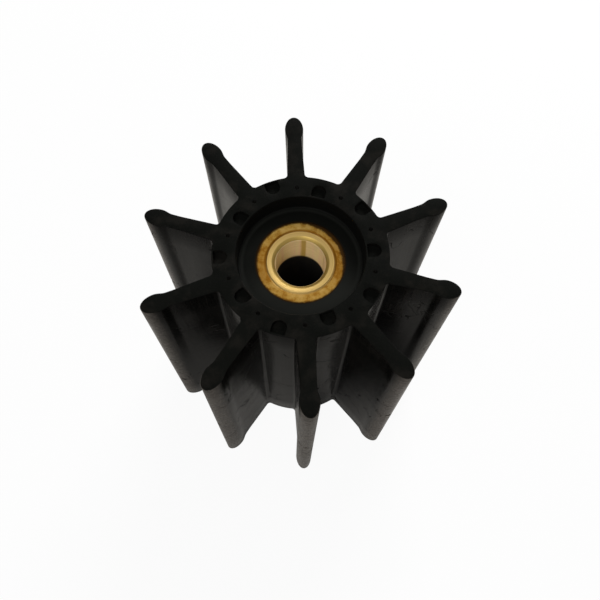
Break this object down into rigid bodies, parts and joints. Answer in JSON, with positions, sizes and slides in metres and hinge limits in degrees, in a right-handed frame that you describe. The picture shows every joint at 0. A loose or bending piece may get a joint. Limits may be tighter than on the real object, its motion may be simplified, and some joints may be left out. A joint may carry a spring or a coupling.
{
  "type": "rubber pump impeller",
  "caption": "Flexible rubber wheel with straight radial vanes that end in long bulbs, on a bonded brass bush with a plain bore, for a raw-water pump.",
  "frame": {"origin": "centre of the lower end face, on the shaft axis", "axes": "+Z along the shaft towards the upper end face, +Y along one vane"},
  "size_m": [0.0908, 0.0952, 0.0889],
  "materials": {
    "rubber": "moulded black rubber, satin, slightly dusty",
    "brass": "turned brass, bright round the bore, stained at the rim"
  },
  "bodies": {
    "root": {"rubber_wheel": "rubber", "brass_bush": "brass"}
  },
  "joints": []
}
